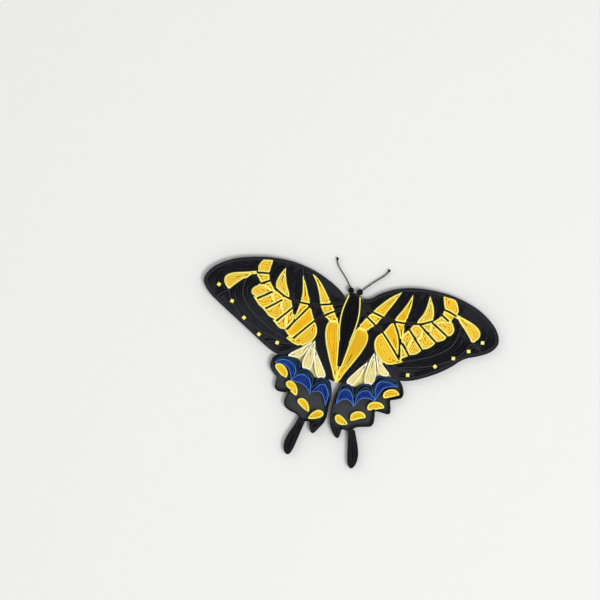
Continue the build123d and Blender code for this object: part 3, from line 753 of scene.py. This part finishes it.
def srgb(r, g, b):
    """Linear colour from the usual 0 to 255 values."""
    return tuple(((c / 255 + 0.055) / 1.055) ** 2.4 if c > 10 else c / 255 / 12.92 for c in (r, g, b))


# The edge colours go on the strips' top faces and are lighter than their sides: partly the papers' own
# colours, partly painted light on the tops.
lemon = paper("lemon edge", srgb(255, 244, 120), dark=0.96, fibre=0.96)
yellow = paper("yellow edge", srgb(255, 240, 100), dark=0.96, fibre=0.96)
golden = paper("golden edge", srgb(255, 233, 76), dark=0.96, fibre=0.96)
deep = paper("deep golden edge", srgb(252, 212, 48), dark=0.95, fibre=0.96)
# Painted shade: the yellow strips' sides and coil hearts, darker and more orange than their tops.
golden_shaded_wall = paper("golden strip in painted shade", srgb(246, 194, 18), dark=0.94, fibre=0.96)
cream_pale = paper("pale cream edge", srgb(255, 254, 232), dark=0.99, fibre=0.98)
cream = paper("cream edge", srgb(255, 248, 188), dark=0.98, fibre=0.97)
# Painted shade: the cream strips' sides and coil hearts, darker than their tops.
cream_shaded_wall = paper("cream strip in painted shade", srgb(252, 236, 150), dark=0.97, fibre=0.97)
ground = paper("pale yellow paper", srgb(255, 250, 170))
# Painted highlight: the grey tops of the black strips, against their black sides.
black_edge_highlight = paper("black edge painted highlight", srgb(60, 60, 66), shine=0.1)
# Painted highlight, dimmer: the tops of the eyes', rims' and abdomen's black strips.
rim_edge_highlight = paper("black rim edge painted highlight", srgb(38, 38, 42), shine=0.12)
vein_brown = paper("dark vein paper", srgb(48, 37, 28), shine=0.12)
black = paper("black strip", srgb(7, 7, 9), shine=0.1)
charcoal = paper("charcoal card", srgb(68, 71, 75), shine=0.12)
blue_pale = paper("pale blue edge", srgb(92, 136, 212))
blue = paper("blue edge", srgb(42, 82, 182))
# Painted shade: the blue strips' sides and coil hearts, darker than their tops.
blue_shaded_wall = paper("blue strip in painted shade", srgb(12, 36, 120))
# Painted highlight: the lighter tops of the dark teal strips.
teal_edge_highlight = paper("teal edge painted highlight", srgb(46, 80, 112), shine=0.12)
teal = paper("teal strip", srgb(10, 22, 34), shine=0.12)


# Kinds of coils, each with its pitch and rounding. The loose ones stand apart and don't grow.

YELLOWS = (
    ("flank_coil", 0.6, 0.0), ("inner_streak_coils", 0.6, 0.2), ("middle_streak_coils", 0.6, 0.1),
    ("fan_coil", 0.62, 0.25), ("horn_coil", 0.6, 0.05), ("band_coils", 0.58, 0.4),
    ("costal_coils", 0.58, 0.3), ("apical_coil", 0.58, 0.1),
)
LOOSE_YELLOWS = (("halfmoon_coils", 0.48, 0.15),)
PALER = ("band_coils", "apical_coil", "horn_coil")
DEEPER = ("flank_coil", "middle_streak_coils", "halfmoon_coils")
BLACKS = (
    ("leading_edge_coil", 0.6, 0.1), ("wedge_coils", 0.6, 0.3), ("crescent_coils", 0.7, 0.1),
    ("margin_coils", 0.66, 0.1), ("apex_coil", 0.66, 0.1), ("inner_margin_coil", 0.6, 0.1),
)
LOOSE_BLACKS = (("tail_coil", 0.42, 0.0), ("lobe_coil", 0.42, 0.0))
PLAIN = (
    ("side_strip", lemon), ("forewing_veins", vein_brown), ("antenna", black), ("cream_ground", ground),
)

LIGHT = [f"{side}_{kind}" for side in SIDES for kind, _, _ in YELLOWS]
DARK = [f"{side}_{kind}" for side in SIDES for kind, _, _ in BLACKS]
VEINS = [f"{side}_forewing_veins" for side in SIDES]
BESIDE = ["abdomen_coil"] + VEINS + [
    f"{side}_{kind}"
    for side in SIDES
    for kind in ("forewing_rim", "side_strip", "eye_coil", "cream_coils", "hindwing_rim",
                 "dark_arc_coils", "cream_ground")
]
LIGHT_REACH = 0.3
PRESSED_REACH = 0.75
DARK_REACH = 0.9
YELLOW_STRIP = {"thickness": 0.29, "heart": 0.7, "tight": 0.33}
CREAM_STRIP = {"thickness": 0.27, "heart": 0.8, "tight": 0.31}
BLUE_STRIP = {"thickness": 0.18, "heart": 0.7}
TEAL_STRIP = {"thickness": 0.15}
BLACK_STRIP = {"thickness": 0.12}
EYE_STRIP = {"thickness": 0.13, "rounding": 0.3}
RIM_STRIP = {"thickness": 0.14, "sink": 0.05}

grown_outlines = {}
grown_outlines.update(
    shared_out(LIGHT, BESIDE + DARK, LIGHT_REACH, "base_sheet", LIGHT + VEINS, PRESSED_REACH)
)
grown_outlines.update(shared_out(DARK, BESIDE + LIGHT, DARK_REACH, "base_sheet"))

for side in SIDES:
    for kind, pitch, rounding in YELLOWS + LOOSE_YELLOWS:
        # Tops in the edge colours, lighter as painted light; the strips' sides and hearts in painted shade.
        edges = (lemon, golden, deep) if kind in DEEPER else (lemon, yellow, golden)
        depths = (2, 3) if kind in PALER else (1, 2)
        wound_piece(f"{side}_{kind}", edges, golden_shaded_wall, pitch, rounding=rounding, depths=depths,
                    **YELLOW_STRIP)
    # Cream coils: sides and hearts in painted shade.
    wound_piece(f"{side}_cream_coils", (cream_pale, cream), cream_shaded_wall, 0.6, **CREAM_STRIP)
    # Black coils with painted highlights on their strips' tops.
    for kind, pitch, rounding in BLACKS + LOOSE_BLACKS:
        wound_piece(f"{side}_{kind}", (black_edge_highlight,), black, pitch, rounding=rounding, **BLACK_STRIP)
    # Blue arcs: tops partly painted light, sides and hearts in painted shade.
    wound_piece(f"{side}_blue_arc_coils", (blue_pale, blue), blue_shaded_wall, 0.5, **BLUE_STRIP)
    # Dark arcs with painted highlights on their strips' tops.
    wound_piece(f"{side}_dark_arc_coils", (teal_edge_highlight,), teal, 0.48, **TEAL_STRIP)
    # Eye coil and hindwing rim with dimmer painted highlights on their strips' tops.
    wound_piece(f"{side}_eye_coil", (rim_edge_highlight,), black, 0.24, **EYE_STRIP)
    # Forewing rim with painted highlights on its strips' tops.
    wound_piece(f"{side}_forewing_rim", (black_edge_highlight,), black, 0.3, **RIM_STRIP)
    wound_piece(f"{side}_hindwing_rim", (rim_edge_highlight,), black, 0.25, **RIM_STRIP)
    for kind, material in PLAIN:
        flat_piece(f"{side}_{kind}", "_paper", material, bevel=PAPER_BEVEL)
    flat_piece(f"{side}_forewing_diamonds", "_paper", lemon, rounds=0, bevel=SQUARE_BEVEL)

# Abdomen coil with dimmer painted highlights on its strips' tops.
wound_piece("abdomen_coil", (rim_edge_highlight,), black, 0.46, rounding=0.1, **BLACK_STRIP)
flat_piece("base_sheet", "_card", charcoal)


# Floor, light and camera. The photo's frame is SEEN_WIDTH wide at the coils' top, SEEN_FROM below the camera.

FLOOR_REACH = 1500 * MM
FLOOR_DROP = 0.02 * MM
WORLD_STRENGTH = 0.56
TURN = math.radians(13.4)
RIGHT_WAY = Vector((math.cos(TURN), math.sin(TURN), 0))
UP_WAY = Vector((-math.sin(TURN), math.cos(TURN), 0))
AIM = Vector((-18.8, 11.3, 0)) * MM
COILS_TOP = 3.3
SEEN_FROM = 1500
SEEN_WIDTH = 213.1
SENSOR_WIDTH = 36
CLIP_END = 10

floor_mesh = bpy.data.meshes.new("floor")
corners = [(FLOOR_REACH * x, FLOOR_REACH * y, 0) for x, y in ((-1, -1), (1, -1), (1, 1), (-1, 1))]
floor_mesh.from_pydata(corners, [], [(0, 1, 2, 3)])
floor_thing = bpy.data.objects.new("floor", floor_mesh)
floor_thing.location.z = -FLOOR_DROP
bpy.context.scene.collection.objects.link(floor_thing)
floor_mesh.materials.append(paper("floor paper", srgb(238, 238, 236), dark=1.0, shine=0.1, bump=0.0))

world = bpy.data.worlds.new("studio")
world.use_nodes = True
world.node_tree.nodes["Background"].inputs["Color"].default_value = (1, 1, 1, 1)
world.node_tree.nodes["Background"].inputs["Strength"].default_value = WORLD_STRENGTH
bpy.context.scene.world = world
bpy.context.scene.view_settings.view_transform = "Standard"


def softbox(name, right, up, height, size, power):
    """A square soft light that looks at the object, placed in metres by the picture's right and up."""
    light = bpy.data.lights.new(name, "AREA")
    light.shape = "SQUARE"
    light.size = size
    light.energy = power
    thing = bpy.data.objects.new(name, light)
    thing.location = AIM + RIGHT_WAY * right + UP_WAY * up + Vector((0, 0, height))
    thing.rotation_euler = (AIM - thing.location).to_track_quat("-Z", "Y").to_euler()
    bpy.context.scene.collection.objects.link(thing)


softbox("key", right=0.34, up=-0.28, height=1.1, size=0.36, power=7.1)
softbox("fill", right=-0.5, up=0.5, height=1.0, size=0.8, power=1.1)

camera = bpy.data.cameras.new("camera")
camera.sensor_fit = "HORIZONTAL"
camera.sensor_width = SENSOR_WIDTH
camera.lens = SENSOR_WIDTH * SEEN_FROM / SEEN_WIDTH
camera.clip_end = CLIP_END
camera_thing = bpy.data.objects.new("camera", camera)
camera_thing.location = AIM + Vector((0, 0, (SEEN_FROM + COILS_TOP) * MM))
camera_thing.rotation_euler = (0, 0, TURN)
bpy.context.scene.collection.objects.link(camera_thing)
bpy.context.scene.camera = camera_thing
